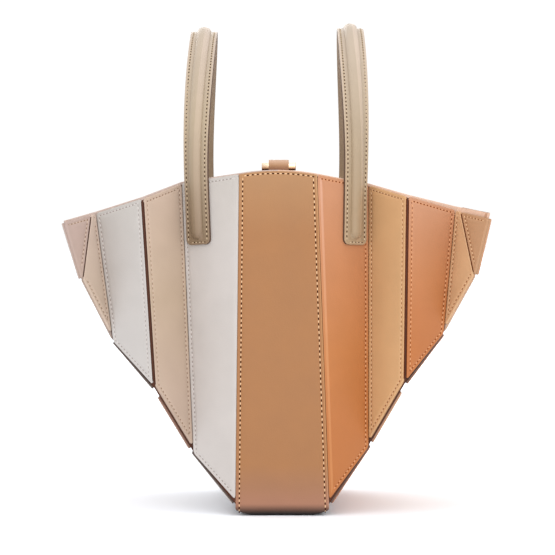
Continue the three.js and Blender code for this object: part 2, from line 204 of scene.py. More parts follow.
# Panels: how far a face must look outwards, or lie in the plate's plane, then the sizes of the leather
FACING = 0.15
IN_PLANE = 0.999
POINTS_PER_METRE = 1e5
CORNER_RADIUS = 2.5 * MM
LEAST_RADIUS = 0.3 * MM
CORNER_SHARE = 0.4
CORNER_STEPS = 6
FRAME_CORNER_EDGES = 3
SIDE_STEP = 9 * MM
SIDE_MARGIN = 0.05 * MM
ROLL_DROP = 1.0 * MM
ROLL_REACH = 5.0 * MM
VALLEY_ROUNDING = 0.3
ROUNDING_END = 0.8 * MM
SIDE_REACH = {"band": 1.3 * MM, "valley": 0.13 * MM, "ridge": 0.5 * MM}
UNDER_THIN = 0.9 * MM
SIDE_ROLES = {
    "main": {"inner": "band", "outer": "valley"},
    "side": {"inner": "valley", "outer": "ridge"},
    "outer": {"inner": "ridge", "outer": "valley"},
    "corner": {"inner": "valley", "outer": "tip_ridge"},
    "tip": {"inner": "tip_ridge"},
}
PAINTED_ROLES = ("ridge", "tip_ridge")
BARE_SIDES = {"main": "inner", "corner": "outer", "tip": "outer"}

# Centre band, on the body's fold lines at rim and foot, in millimetres
GAP = 0.3 * MM
BAND = 2.2 * MM
BAND_EDGES = [
    {"rim_x": -29.9, "rim_z": 267.5, "foot_x": -32.8, "foot_z": 6.8},
    {"rim_x": 30.8, "rim_z": 267.1, "foot_x": 40.2, "foot_z": 6.8},
]
BAND_ARCH = 2.7 * MM
RIM_DROP = 1.0 * MM
BASE_BOW = 4.3 * MM
BASE_FLAT = 0.5
BASE_CORNER = 5 * MM
BAND_MIDDLES = 9
# Columns of the band's right edge that carry a painted highlight
PAINTED_HIGHLIGHT_COLUMNS = (1, 2)
BAND_WALL_ROWS = 30
BAND_TURN_ROWS = 8
BAND_BASE_ROWS = 10
BAND_END_STEPS = 16

# Rim and walls of the body
RIM_FACING = 0.7
RIM_ABOVE = 200 * MM
WALL_FACING = 0.3
MIDDLE_Z = 200 * MM
RIM_OUTER_BEVEL = 0.85 * MM
RIM_INNER_BEVEL = 0.35 * MM
RIM_STRIP = {"middle": 2.4 * MM, "wings": 7 * MM}
WINGS_FROM = 120 * MM
PALE_FROM = 130 * MM

# Closure
CLOSURE_BEVEL = {"closure_tab": 0.35 * MM, "closure_bar": 0.5 * MM}

# Handles: sizes of the strap, then its places in millimetres, from the near foot to the crown
HANDLE_WIDTH = {"foot": 22.8 * MM, "top": 21.2 * MM}
HANDLE_FLANGE = 2.4 * MM
HANDLE_CORE = 11 * MM
HANDLE_CORE_RISE = 4 * MM
HANDLE_CORE_STEPS = 16
HANDLE_CORE_START = 4.4 * MM
HANDLE_CORE_END = 6.0 * MM
HANDLE_CORE_END_STEPS = 6
HANDLE_CORE_CLEAR = 0.2 * MM
HANDLE_FOOT_CORNER = 4.5 * MM
HANDLE_FOOT_Z = 211.3 * MM
HANDLE_LEAVE_Z = 260.3 * MM
HANDLE_PLACES = {
    "left": {"foot_x": -61.0, "leave_x": -62.9, "top_x": -59.3, "top_z": 380.1, "outward": -2.2},
    "right": {"foot_x": 59.8, "leave_x": 60.6, "top_x": 58.9, "top_z": 383.0, "outward": 2.2},
}
# Both handles are one beige leather, each toned by height on its own to paint the light and shade on it
HANDLE_LEATHER = {"left": "beige_leather", "right": "light_beige_leather"}
# Core columns on the handle's right half that carry a painted highlight
HANDLE_PAINTED_HIGHLIGHT = range(17, 23)
HANDLE_LEAN = {"inward": 10 * MM, "rise": 58 * MM}
HANDLE_CROWN = 56 * MM
HANDLE_STEP = 4 * MM
HANDLE_END_CLEAR = 1.5 * MM
FOOT_STEPS = 60
ARCH_STEPS = 240
ALONG_STEPS = {"behind": 5, "ahead": 6}

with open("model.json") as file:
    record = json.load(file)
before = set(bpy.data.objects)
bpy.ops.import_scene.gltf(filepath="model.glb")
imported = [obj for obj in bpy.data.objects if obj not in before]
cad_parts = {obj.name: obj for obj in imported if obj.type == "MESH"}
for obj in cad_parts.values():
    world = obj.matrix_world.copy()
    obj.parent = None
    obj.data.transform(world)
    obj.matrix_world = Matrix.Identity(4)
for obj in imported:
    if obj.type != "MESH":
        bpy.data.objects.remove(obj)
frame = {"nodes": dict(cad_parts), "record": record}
nodes = frame["nodes"]
slot_of = {row["node"]: row["material_slot"] for row in frame["record"]["subparts"]}
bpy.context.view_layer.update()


def linear(rgb, tint=(1.0, 1.0, 1.0)):
    """sRGB bytes as a linear colour with alpha, its channels scaled."""
    channels = [c / 255 for c in rgb]
    flat = [c / 12.92 if c <= 0.04045 else ((c + 0.055) / 1.055) ** 2.4 for c in channels]
    return tuple(min(1.0, c * scale) for c, scale in zip(flat, tint)) + (1.0,)


def shaded(rgb, shade):
    """sRGB bytes as a linear colour, darker or lighter."""
    return linear(rgb, (shade, shade, shade))


# Materials


def shader(name):
    """A new material, its nodes and its surface."""
    material = bpy.data.materials.new(name)
    material.use_nodes = True
    tree = material.node_tree
    return material, tree, tree.nodes["Principled BSDF"]


def add_place(tree, kind="Object"):
    """Coordinates: the piece's own, or the sky's where they are generated."""
    return tree.nodes.new("ShaderNodeTexCoord").outputs[kind]


def add_height(tree, place):
    """Upward part of some coordinates."""
    split = tree.nodes.new("ShaderNodeSeparateXYZ")
    tree.links.new(place, split.inputs["Vector"])
    return split.outputs["Z"]


def add_texture(tree, kind, **settings):
    """A texture over the piece's own coordinates."""
    texture = tree.nodes.new(kind)
    for name, value in settings.items():
        texture.inputs[name].default_value = value
    tree.links.new(add_place(tree), texture.inputs["Vector"])
    return texture.outputs


def add_noise(tree, scale, detail=2):
    """Noise over the piece's own coordinates."""
    return add_texture(tree, "ShaderNodeTexNoise", Scale=scale, Detail=detail)["Fac"]


def add_range(tree, value, target, source=(0, 1)):
    """A value mapped from one range to another."""
    node = tree.nodes.new("ShaderNodeMapRange")
    node.inputs["From Min"].default_value, node.inputs["From Max"].default_value = source
    node.inputs["To Min"].default_value, node.inputs["To Max"].default_value = target
    tree.links.new(value, node.inputs["Value"])
    return node.outputs["Result"]


def add_mix(tree, factor, first, second):
    """Colour between two."""
    node = tree.nodes.new("ShaderNodeMix")
    node.data_type = "RGBA"
    tree.links.new(factor, node.inputs["Factor"])
    for name, colour in (("A", first), ("B", second)):
        socket = next(s for s in node.inputs if s.name == name and s.type == "RGBA")
        socket.default_value = colour
    return next(s for s in node.outputs if s.type == "RGBA")


def add_bump(tree, height, relief, normal=None):
    """A relief of some strength and depth, on top of another one if there is one."""
    node = tree.nodes.new("ShaderNodeBump")
    node.inputs["Strength"].default_value = relief["strength"]
    node.inputs["Distance"].default_value = relief["depth"]
    tree.links.new(height, node.inputs["Height"])
    if normal:
        tree.links.new(normal, node.inputs["Normal"])
    return node.outputs["Normal"]


def add_tones(tree, tones, tint=TINTS["plain"]):
    """Colour by height, one tone turning into the next."""
    ramp = tree.nodes.new("ShaderNodeValToRGB")
    stops = ramp.color_ramp.elements
    for level, rgb in tones:
        stops.new(level / TONE_TOP).color = linear(rgb, tint)
    stops.remove(stops[-1])
    stops.remove(stops[0])
    height = add_height(tree, add_place(tree))
    tree.links.new(add_range(tree, height, (0, 1), (0, TONE_TOP)), ramp.inputs["Fac"])
    return ramp.outputs["Color"]


def leather_material(name, tones, tint=TINTS["plain"]):
    """Smooth grained leather, faintly mottled, its tone changing with height, which paints some light
    and shade.
    """
    material, tree, surface = shader(name)
    mottle = add_noise(tree, MOTTLE["scale"], MOTTLE["detail"])
    mottled = tree.nodes.new("ShaderNodeHueSaturation")
    value = add_range(tree, mottle, MOTTLE["value"], MOTTLE["seen"])
    tree.links.new(value, mottled.inputs["Value"])
    tree.links.new(add_tones(tree, tones, tint), mottled.inputs["Color"])
    tree.links.new(mottled.outputs["Color"], surface.inputs["Base Color"])
    gloss = add_range(tree, mottle, LEATHER_GLOSS["roughness"])
    tree.links.new(gloss, surface.inputs["Roughness"])
    grain = add_texture(tree, "ShaderNodeTexVoronoi", Scale=GRAIN["scale"])
    fine = add_bump(tree, grain["Distance"], GRAIN)
    broad = add_bump(tree, add_noise(tree, CREASES["scale"]), CREASES, fine)
    tree.links.new(broad, surface.inputs["Normal"])
    surface.inputs["Specular IOR Level"].default_value = LEATHER_GLOSS["specular"]
    return material


def thread_material(name, rgb):
    """Twisted waxed thread."""
    material, tree, surface = shader(name)
    settings = {"Scale": TWIST["scale"], "Distortion": TWIST["distortion"]}
    twist = add_texture(tree, "ShaderNodeTexWave", **settings)
    tone = add_mix(tree, twist["Fac"], shaded(rgb, TWIST["shade"]), linear(rgb))
    tree.links.new(tone, surface.inputs["Base Color"])
    surface.inputs["Roughness"].default_value = TWIST["roughness"]
    return material


def paint_material(name, rgb, roughness):
    """Burnished edge paint, slightly uneven; the same is used for the painted shade in needle holes."""
    material, tree, surface = shader(name)
    darker, lighter = (shaded(rgb, shade) for shade in PAINT["shades"])
    tone = add_mix(tree, add_noise(tree, PAINT["scale"]), darker, lighter)
    tree.links.new(tone, surface.inputs["Base Color"])
    surface.inputs["Roughness"].default_value = roughness
    surface.inputs["Specular IOR Level"].default_value = PAINT["specular"]
    return material


def gold_material():
    """Polished pale gold with faint wear, painted darker towards the rim as a painted reflection of it,
    paler above as a painted highlight.
    """
    material, tree, surface = shader("pale_gold")
    tree.links.new(add_tones(tree, GOLD_PAINTED_REFLECTION_TONES), surface.inputs["Base Color"])
    wear = add_range(tree, add_noise(tree, GOLD_WEAR["scale"]), GOLD_WEAR["roughness"])
    tree.links.new(wear, surface.inputs["Roughness"])
    surface.inputs["Metallic"].default_value = 1.0
    return material


def leather(slot, *tints):
    """A slot's leather in some tints, made once; the tints paint light, shade and highlights."""
    name = "_".join((slot, *tints))
    if name not in bpy.data.materials:
        known = {**TINTS, "sheen": PAINTED_HIGHLIGHT_TINTS.get(slot, TINTS["plain"])}
        scales = zip(*(known[tint] for tint in tints))
        leather_material(name, LEATHERS[slot]["tones"], tuple(math.prod(scale) for scale in scales))
    return bpy.data.materials[name]


def paints(ending, kind, colours):
    """Edge paints of one kind, by what they are on."""
    roughness = PAINT_ROUGHNESS[kind]
    return {key: paint_material(key + ending, rgb, roughness) for key, rgb in colours.items()}


threads = {slot: thread_material(slot + "_thread", row["thread"]) for slot, row in LEATHERS.items()}
# Needle holes: dark paint standing in for the shade inside them
holes = paints("_hole", "hole", {slot: row["hole"] for slot, row in LEATHERS.items()})
ridge_paints = paints("_ridge", "edge", RIDGE_PAINT)
under_paints = paints("_under", "edge", UNDER_EDGE_PAINT)
rim_paints = paints("_rim_paint", "rim", RIM_PAINT)
handle_paint = paint_material("handle_edge_paint", HANDLE_EDGE_PAINT, PAINT_ROUGHNESS["handle"])
seam_paint = paint_material("seam_brown", SEAM_BROWN, PAINT_ROUGHNESS["seam"])
# Finishes by number; the fifth is a paler stitch line, partly the leather's own and partly a painted
# highlight, the sixth a painted highlight
FACE, EDGE, THREAD, HOLE, PRESSED_AND_HIGHLIGHT, PAINTED_HIGHLIGHT = range(6)


def finishes(slot, edge, tint="plain"):
    """A leather's finishes, by their numbers."""
    pressed, painted_highlight_leather = leather(slot, tint, "pressed"), leather(slot, tint, "sheen")
    return [leather(slot, tint), edge, threads[slot], holes[slot], pressed, painted_highlight_leather]


# Building pieces


def put(name, mesh, materials, smooth_angle):
    """A mesh as a piece of the scene, smooth but for edges sharper than an angle."""
    for material in materials:
        mesh.materials.append(material)
    mesh.set_sharp_from_angle(angle=math.radians(smooth_angle))
    piece = bpy.data.objects.new(name, mesh)
    bpy.context.scene.collection.objects.link(piece)
    return piece


def far_of(v):
    """Point or direction of the far half that mirrors one of the near half."""
    return Vector((v.x, -v.y, v.z))


def far_line(line):
    """Line of the far half: points in a row across it, or points along it with the way out at each."""
    return [[far_of(v) for v in point] for point in line]


def with_far(near):
    """Lines of the near half, then those of the far one, which share the middle line."""
    return near + far_line(near[-2::-1])


class Piece:
    """Points and faces of one object, each face with a finish."""

    def __init__(self):
        self.points = []
        self.faces = []
        self.slots = []

    def add(self, points, faces, slot):
        """Faces of one finish, which index their own points."""
        base = len(self.points)
        self.points.extend(points)
        self.faces.extend([tuple(base + i for i in face) for face in faces])
        self.slots.extend([slot] * len(faces))

    def add_rings(self, rings, slot_at):
        """Quads between closed rings of equal length, the last ring filled."""
        count = len(rings[0])
        base = len(self.points)
        for ring in rings:
            self.points.extend(ring)
        for r in range(len(rings) - 1):
            for k in range(count):
                a = base + r * count + k
                b = base + r * count + (k + 1) % count
                self.faces.append((a, b, b + count, a + count))
                self.slots.append(slot_at(r, k))
        last = base + (len(rings) - 1) * count
        self.faces.append(tuple(range(last, last + count)))
        self.slots.append(FACE)

    def add_shell(self, face, back, slot_at):
        """Closed skin between two matching grids: a face, its back and painted edges round them."""
        rows, across = len(face), len(face[0])
        base = len(self.points)
        size = rows * across
        for grid in (face, back):
            self.points.extend(p for row in grid for p in row)

        def at(i, j):
            """Index of a point of the face."""
            return base + i * across + j

        for i in range(rows - 1):
            for j in range(across - 1):
                quad = (at(i, j), at(i, j + 1), at(i + 1, j + 1), at(i + 1, j))
                self.faces.append(quad)
                self.slots.append(slot_at(i, j))
                self.faces.append(tuple(k + size for k in reversed(quad)))
                self.slots.append(FACE)
        border = [at(0, j) for j in range(across)] + [at(i, across - 1) for i in range(1, rows)]
        border += [at(rows - 1, j) for j in reversed(range(across - 1))]
        border += [at(i, 0) for i in reversed(range(1, rows - 1))]
        for a, b in zip(border, border[1:] + border[:1]):
            self.faces.append((b, a, a + size, b + size))
            self.slots.append(EDGE)

    def make(self, name, materials):
        """The piece in the scene, its points welded where they meet."""
        mesh = bpy.data.meshes.new(name)
        mesh.from_pydata([tuple(p) for p in self.points], [], self.faces)
        mesh.polygons.foreach_set("material_index", self.slots)
        mesh.polygons.foreach_set("use_smooth", [True] * len(self.faces))
        weld = bmesh.new()
        weld.from_mesh(mesh)
        bmesh.ops.remove_doubles(weld, verts=weld.verts, dist=WELD["made"])
        weld.to_mesh(mesh)
        weld.free()
        return put(name, mesh, materials, SMOOTH_ANGLE["made"])


def settle(piece, node):
    """The piece stands for a node of the frame: hung on the root, the node hidden."""
    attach(piece, "root")
    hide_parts(node)


# Stitched edges


def edge_profile(inset):
    """Height of the leather's face by distance from its edge, with a groove for the stitches."""
    return [
        (0.0, -0.50 * MM),
        (0.10 * MM, -0.22 * MM),
        (0.35 * MM, -0.07 * MM),
        (0.80 * MM, 0.0),
        (inset - 1.0 * MM, 0.0),
        (inset - 0.5 * MM, -GROOVE),
        (inset + 0.5 * MM, -GROOVE),
        (inset + 1.1 * MM, 0.04 * MM),
        (inset + 2.8 * MM, 0.18 * MM),
    ]


def profile_rise(profile, distance):
    """Height of a profile at a distance from the edge."""
    for (near, low), (far, high) in zip(profile, profile[1:]):
        if distance <= far:
            return low + (high - low) * (distance - near) / (far - near)
    return profile[-1][1]


def add_stitch(piece, at, along, up, pitch):
    """One stitch: a short bead of thread lying in the groove, and the hole after it, a dark disc of
    painted shade.
    """
    across = up.cross(along)
    points = []
    for run, fat in STITCH_STATIONS:
        middle = at + along * (run * STITCH_SHARE * pitch)
        for turn in STITCH_ARC:
            side = across * (math.cos(turn) * fat * STITCH_WIDTH / 2)
            points.append(middle + side + up * (math.sin(turn) * fat * STITCH_HEIGHT))
    width = len(STITCH_ARC)
    faces = []
    for i in range(len(STITCH_STATIONS) - 1):
        for j in range(width - 1):
            a = i * width + j
            faces.append((a, a + width, a + width + 1, a + 1))
    faces.append(tuple(range(width)))
    faces.append(tuple(reversed(range(len(points) - width, len(points)))))
    piece.add(points, faces, THREAD)
    hole = at + along * (pitch / 2) + up * HOLE_RISE
    ring = []
    for turn in HOLE_ARC:
        end = along * (math.cos(turn) * HOLE_SHARE * pitch)
        ring.append(hole + end + across * (math.sin(turn) * HOLE_ACROSS))
    piece.add(ring, [tuple(range(len(ring)))], HOLE)


def runs_along(points):
    """Distance of each point of a line from its start."""
    runs = [0.0]
    for a, b in zip(points, points[1:]):
        runs.append(runs[-1] + (b - a).length)
    return runs


def stitch_line(piece, line, pitch):
    """Stitches at an even pitch along a line of points, each with the way out of the leather there."""
    runs = runs_along([p for p, _ in line])
    count = max(1, round(runs[-1] / pitch))
    k = 0
    for n in range(count):
        target = (n + 0.5) * runs[-1] / count
        while runs[k + 1] < target:
            k += 1
        share = (target - runs[k]) / (runs[k + 1] - runs[k])
        (start, start_up), (end, end_up) = line[k], line[k + 1]
        up = start_up.lerp(end_up, share).normalized()
        along = end - start
        along = (along - up * along.dot(up)).normalized()
        add_stitch(piece, start.lerp(end, share), along, up, runs[-1] / count)


# Panels


def outward_hint(name):
    """Rough direction that a panel faces."""
    hints = {
        "near": Vector((0, -1, 0)),
        "far": Vector((0, 1, 0)),
        "under": Vector((0, 0, -1)),
        "end": Vector((-1 if name.startswith("left") else 1, 0, 0)),
    }
    return next(hint for word, hint in hints.items() if f"_{word}_" in name)


def outline_of(rings):
    """Edges round a flat patch, in order: those that only one of its rings of points has."""

    def key(p):
        """A point's place, rounded so that equal points agree."""
        return round(p.x * POINTS_PER_METRE), round(p.y * POINTS_PER_METRE)

    used = {}
    for ring in rings:
        for a, b in zip(ring, ring[1:] + ring[:1]):
            used[(key(a), key(b))] = (a, b)
    loose = {pair[0]: ends for pair, ends in used.items() if (pair[1], pair[0]) not in used}
    start = next(iter(loose))
    loop = [loose[start]]
    while key(loop[-1][1]) != start:
        loop.append(loose[key(loop[-1][1])])
    return loop


def plate_of(node):
    """Flat plate of a node: origin on its back, axes, sharp corners in its plane, thickness."""
    mesh = node.data
    hint = outward_hint(node.name)
    facing = [f for f in mesh.polygons if f.normal.dot(hint) > FACING]
    normal = max(facing, key=lambda f: f.area).normal.copy()
    levels = [v.co.dot(normal) for v in mesh.vertices]
    low, high = min(levels), max(levels)
    axis_x = normal.orthogonal().normalized()
    axis_y = normal.cross(axis_x)
    origin = normal * low

    def flat(p):
        """Point in the plane of the plate."""
        return Vector(((p - origin).dot(axis_x), (p - origin).dot(axis_y)))

    front = [f for f in mesh.polygons if f.normal.dot(normal) >= IN_PLANE]
    loop = outline_of([[flat(mesh.vertices[i].co) for i in f.vertices] for f in front])
    longest = max(range(len(loop)), key=lambda k: (loop[k][1] - loop[k][0]).length)
    step = FRAME_CORNER_EDGES + 1
    sides = loop[longest % step :: step]
    corners = [meet(before, after) for before, after in zip(sides[-1:] + sides[:-1], sides)]
    return origin, axis_x, axis_y, normal, corners, high - low


def meet(first, second):
    """Point where the lines of two sides cross."""
    (a, b), (c, d) = first, second
    u, v = b - a, d - c
    run = ((c - a).x * v.y - (c - a).y * v.x) / (u.x * v.y - u.y * v.x)
    return a + u * run


def inset_corners(corners, insets):
    """Outline with each side moved in by its own distance; a side used up by this becomes a point."""
    count = len(corners)
    lines = []
    for k, corner in enumerate(corners):
        along = (corners[(k + 1) % count] - corner).normalized()
        start = corner + Vector((-along.y, along.x)) * insets[k]
        lines.append((start, start + along))
    moved = [meet(lines[k - 1], lines[k]) for k in range(count)]
    for k, (start, end) in enumerate(lines):
        after = (k + 1) % count
        if (moved[after] - moved[k]).dot(end - start) < 0:
            moved[k] = moved[after] = meet(lines[k - 1], lines[after])
    return moved


def rounded(corners, radius, counts):
    """Closed ring along an outline with rounded corners; counts gives the points on each side."""
    count = len(corners)
    lengths = [(corners[(k + 1) % count] - corners[k]).length for k in range(count)]
    reaches = [min(radius, CORNER_SHARE * min(lengths[k - 1], lengths[k])) for k in range(count)]
    ring = []
    for k, corner in enumerate(corners):
        after = (k + 1) % count
        back = (corners[k - 1] - corner).normalized()
        ahead = (corners[after] - corner).normalized()
        start, end = corner + back * reaches[k], corner + ahead * reaches[k]
        for step in range(CORNER_STEPS + 1):
            t = step / CORNER_STEPS
            ring.append(start * (1 - t) ** 2 + corner * (2 * t * (1 - t)) + end * t**2)
        last = corners[after] - ahead * reaches[after]
        for step in range(1, counts[k]):
            ring.append(end.lerp(last, step / counts[k]))
    return ring


def side_roles(node, plate):
    """Roles of a wall panel's innermost and outermost sides, by index, and its unstitched side."""
    origin, axis_x, axis_y, _, corners, _ = plate
    kind = node.name.split("_")[2]
    if "under" in node.name or kind not in SIDE_ROLES:
        return {}, None
    reaches = []
    for k, corner in enumerate(corners):
        middle = (corner + corners[(k + 1) % len(corners)]) / 2
        reaches.append(abs((origin + axis_x * middle.x + axis_y * middle.y).x))
    ends = {"inner": reaches.index(min(reaches)), "outer": reaches.index(max(reaches))}
    roles = {ends[end]: role for end, role in SIDE_ROLES[kind].items()}
    return roles, ends.get(BARE_SIDES.get(kind))


def edge_finish(node):
    """Finish of a panel's painted sides."""
    if "under_corner" in node.name:
        return leather(slot_of[node.name], "plain")
    if "under" in node.name:
        return under_paints[slot_of[node.name]]
    if node.name.endswith("_end_panel"):
        slot = slot_of[node.name.replace("_end_", "_near_tip_")]
        return leather(slot, slot.split("_")[0] + "_tip")
    return ridge_paints[node.name.split("_")[0]]


def panel_finishes(node):
    """Finishes of a panel; one on the walls may have its own tones or tint, which paint the light and
    shade on it.
    """
    slot = slot_of[node.name]
    own = slot.split("_")[0] + "_" + node.name.split("_")[2]
    if "under" in node.name:
        own = "plain"
    own_leather = own + "_leather" if own + "_leather" in LEATHERS else slot
    return finishes(own_leather, edge_finish(node), own if own in TINTS else "plain")


class Panel:
    """Flat plate of a leather panel and the roles of its sides."""

    def __init__(self, node):
        plate = plate_of(node)
        self.origin, self.axis_x, self.axis_y, self.normal, self.corners, self.thickness = plate
        self.roles, self.bare = side_roles(node, plate)
        if "under" in node.name:
            self.thickness -= UNDER_THIN
        self.count = len(self.corners)
        self.steps = [max(2, round(self.side(k).length / SIDE_STEP)) for k in range(self.count)]

    def side(self, k):
        """Way from one corner to the next."""
        return self.corners[(k + 1) % self.count] - self.corners[k]

    def insets_at(self, inset):
        """Distances of a ring from the sides of the outline, which the face passes at some of them."""
        return [inset - SIDE_REACH.get(self.roles.get(k), 0.0) for k in range(self.count)]

    def lies_along(self, p, k, insets):
        """Whether a point of a ring lies along a side."""
        along = self.side(k).normalized()
        return (p - self.corners[k]).dot(Vector((-along.y, along.x))) < insets[k] + SIDE_MARGIN

    def role_at(self, p, insets):
        """Role of the side along which a point of a ring lies."""
        return next((role for k, role in self.roles.items() if self.lies_along(p, k, insets)), None)

    def is_bare(self, p, insets):
        """Whether a point of a ring lies along the unstitched side."""
        return self.bare is not None and self.lies_along(p, self.bare, insets)

    def rise_at(self, p, inset, rise):
        """Height of the face on a ring: rolled down beside the band, hardly rounded in a valley."""
        insets = self.insets_at(inset)
        role = self.role_at(p, insets)
        if role == "band":
            short = max(0.0, 1 - inset / ROLL_REACH)
            return -ROLL_DROP * (1 - math.sqrt(1 - short**2))
        if inset >= ROUNDING_END:
            return max(0.0, rise) if self.is_bare(p, insets) else rise
        return rise * VALLEY_ROUNDING if role == "valley" else rise

    def place(self, p, height):
        """Point of the plate's plane at a height above its back."""
        return self.origin + self.axis_x * p.x + self.axis_y * p.y + self.normal * height

    def ring_at(self, inset, insets):
        """Rounded outline moved in from the sides."""
        radius = max(LEAST_RADIUS, CORNER_RADIUS - inset)
        return rounded(inset_corners(self.corners, insets), radius, self.steps)

    def stitch_path(self, inset):
        """Line of the stitches, all round or from one end of the unstitched side to the other."""
        ring = self.ring_at(inset, [inset] * self.count)
        path = [(self.place(p, self.thickness - GROOVE), self.normal) for p in ring]
        if self.bare is None:
            return path + path[:1]
        first = sum(CORNER_STEPS + self.steps[k] for k in range(self.bare)) + CORNER_STEPS // 2
        left_out = self.steps[self.bare] + CORNER_STEPS
        kept = range(first + left_out, first + len(path) + 1)
        return [path[k % len(path)] for k in kept]


def make_panel(node):
    """Leather panel with painted edges, a grooved stitch line painted paler (partly the leather's own,
    partly a painted highlight), stitches and a slightly plump middle.
    """
    panel = Panel(node)
    on_edge = [0.0] * panel.count
    outline = panel.ring_at(0, on_edge)
    roles = [panel.role_at(p, on_edge) for p in outline]
    bare = [panel.is_bare(p, on_edge) for p in outline]
    back = [panel.place(p, 0) for p in outline]
    rings = [back]
    for inset, rise in edge_profile(PANEL_STITCH["inset"]):
        ring = panel.ring_at(inset, panel.insets_at(inset))
        heights = [panel.thickness + panel.rise_at(p, inset, rise) for p in ring]
        rings.append([panel.place(p, height) for p, height in zip(ring, heights)])

    def slot_at(r, k):
        """Finish of a face between two rings: the edge, the paler stitch line (partly a painted
        highlight), a painted highlight on the roll beside the band, or the rest.
        """
        if r == 0:
            return EDGE if not panel.roles or roles[k] in PAINTED_ROLES else FACE
        if r - 1 not in GROOVE_RINGS:
            return FACE
        if roles[k] == "band":
            return PAINTED_HIGHLIGHT
        return FACE if bare[k] else PRESSED_AND_HIGHLIGHT

    piece = Piece()
    piece.add_rings(rings, slot_at)
    piece.add(list(reversed(back)), [tuple(range(len(back)))], FACE)
    stitch_line(piece, panel.stitch_path(PANEL_STITCH["inset"]), PANEL_STITCH["pitch"])
    settle(piece.make(node.name + "_leather", panel_finishes(node)), node.name)


# Centre band


def band_section(share):
    """Body under the band at a share of its width: rim, foot and the radius where the wall turns."""
    left, right = BAND_EDGES

    def mix(key):
        """Value between those of the left and right edges."""
        return (left[key] * (1 - share) + right[key] * share) * MM

    off = abs(2 * share - 1)
    curl = max(0.0, off - BASE_FLAT) / (1 - BASE_FLAT)
    rim = Vector((mix("rim_x"), -HALF_LENGTH, mix("rim_z") + BAND_ARCH * (1 - off * off) - RIM_DROP))
    foot = Vector((mix("foot_x"), -HALF_LENGTH, mix("foot_z") + BASE_BOW * (curl * curl - 1)))
    return rim, foot, BASE_CORNER * (1 - curl)


def band_point(row, share, height):
    """Point above the near half of the body under the band, and the way out of it there."""
    rim, foot, radius = band_section(share)
    reach = GAP + height
    kind, where = row
    if kind == "turn":
        turn = where * math.pi / 2
        out = Vector((0, -math.cos(turn), -math.sin(turn)))
        return foot + Vector((0, radius, radius)) + out * (radius + reach), out
    if kind == "base":
        out = Vector((0, 0, -1))
        start = foot + Vector((0, radius, 0))
        return start.lerp(Vector((foot.x, 0, foot.z)), where) + out * reach, out
    out = Vector((0, -1, 0))
    wall = foot + Vector((0, 0, radius)) - rim
    down = where / wall.length if kind == "edge" else where
    if kind == "wall":
        first = band_end_rows()[-1][1] / wall.length
        down = first + (1 - first) * where
    return rim + wall * down + out * reach, out


def band_end_rows():
    """Rows across an end of the band, by their distance from it."""
    return [("edge", inset) for inset, _ in edge_profile(BAND_END_STITCH["inset"])]


def band_share(edge, row):
    """Share of the band's width at a distance from its left edge, or right one where negative."""
    left, right = BAND_EDGES
    low = row[1] if row[0] == "wall" else (0 if row[0] == "edge" else 1)
    rim = (right["rim_x"] - left["rim_x"]) * MM
    foot = (right["foot_x"] - left["foot_x"]) * MM
    width = rim + (foot - rim) * low
    return edge / width if edge >= 0 else 1 + edge / width


def band_rows():
    """Rows across the near half of the band, from its end on the rim to the middle of the base."""
    rows = band_end_rows()
    rows += [("wall", k / BAND_WALL_ROWS) for k in range(1, BAND_WALL_ROWS)]
    rows += [("turn", k / BAND_TURN_ROWS) for k in range(BAND_TURN_ROWS + 1)]
    rows += [("base", k / BAND_BASE_ROWS) for k in range(1, BAND_BASE_ROWS + 1)]
    return rows


def across_band(row, insets):
    """Shares of the band's width and distances from the nearer edge, from left to right."""
    start, stop = band_share(insets[-1], row), band_share(-insets[-1], row)
    left = [(0.0, 0.0)] + [(band_share(edge, row), edge) for edge in insets[1:]]
    middle = []
    for k in range(1, BAND_MIDDLES):
        middle.append((start + (stop - start) * k / BAND_MIDDLES, insets[-1]))
    right = [(band_share(-edge, row), edge) for edge in reversed(insets[1:])] + [(1.0, 0.0)]
    return left + middle + right


def stitch_band(piece):
    """Stitches along both edges of the band and across its ends."""
    inset = BAND_STITCH["inset"]
    stitched = band_rows()[GROOVE_RINGS[-1] :]
    for edge, pitch in ((inset, BAND_STITCH["left"]), (-inset, BAND_STITCH["right"])):
        line = [band_point(row, band_share(edge, row), BAND - GROOVE) for row in stitched]
        stitch_line(piece, with_far(line), pitch)
    top = ("edge", BAND_END_STITCH["inset"])
    first, last = band_share(inset, top), band_share(-inset, top)
    line = []
    for k in range(BAND_END_STEPS + 1):
        line.append(band_point(top, first + (last - first) * k / BAND_END_STEPS, BAND - GROOVE))
    for end in (line, far_line(line)):
        stitch_line(piece, end, BAND_END_STITCH["pitch"])


def make_band(node_name):
    """Strap down the near wall, under the base and up the far wall, stitched all round."""
    profile = edge_profile(BAND_STITCH["inset"])
    insets = [inset for inset, _ in profile]
    face, back = [], []
    for i, row in enumerate(band_rows()):
        end = insets[min(i, len(insets) - 1)]
        line = []
        for share, edge in across_band(row, insets):
            line.append((share, BAND + profile_rise(profile, min(edge, end))))
        face.append([band_point(row, share, height)[0] for share, height in line])
        back.append([band_point(row, share, 0)[0] for share, _ in line])
    face, back = with_far(face), with_far(back)
    columns = len(face[0])

    def slot_at(i, j):
        """Finish of a face of the strap: the paler stitch line (partly a painted highlight), a painted
        highlight on the right edge, or the rest.
        """
        if columns - 2 - j in PAINTED_HIGHLIGHT_COLUMNS:
            return PAINTED_HIGHLIGHT
        ring = min(i, len(face) - 2 - i, j, columns - 2 - j)
        return PRESSED_AND_HIGHLIGHT if ring in GROOVE_RINGS else FACE

    piece = Piece()
    piece.add_shell(face, back, slot_at)
    stitch_band(piece)
    slot = slot_of[node_name]
    settle(piece.make("centre_band_leather", finishes(slot, leather(slot, "plain"))), node_name)


# Handles


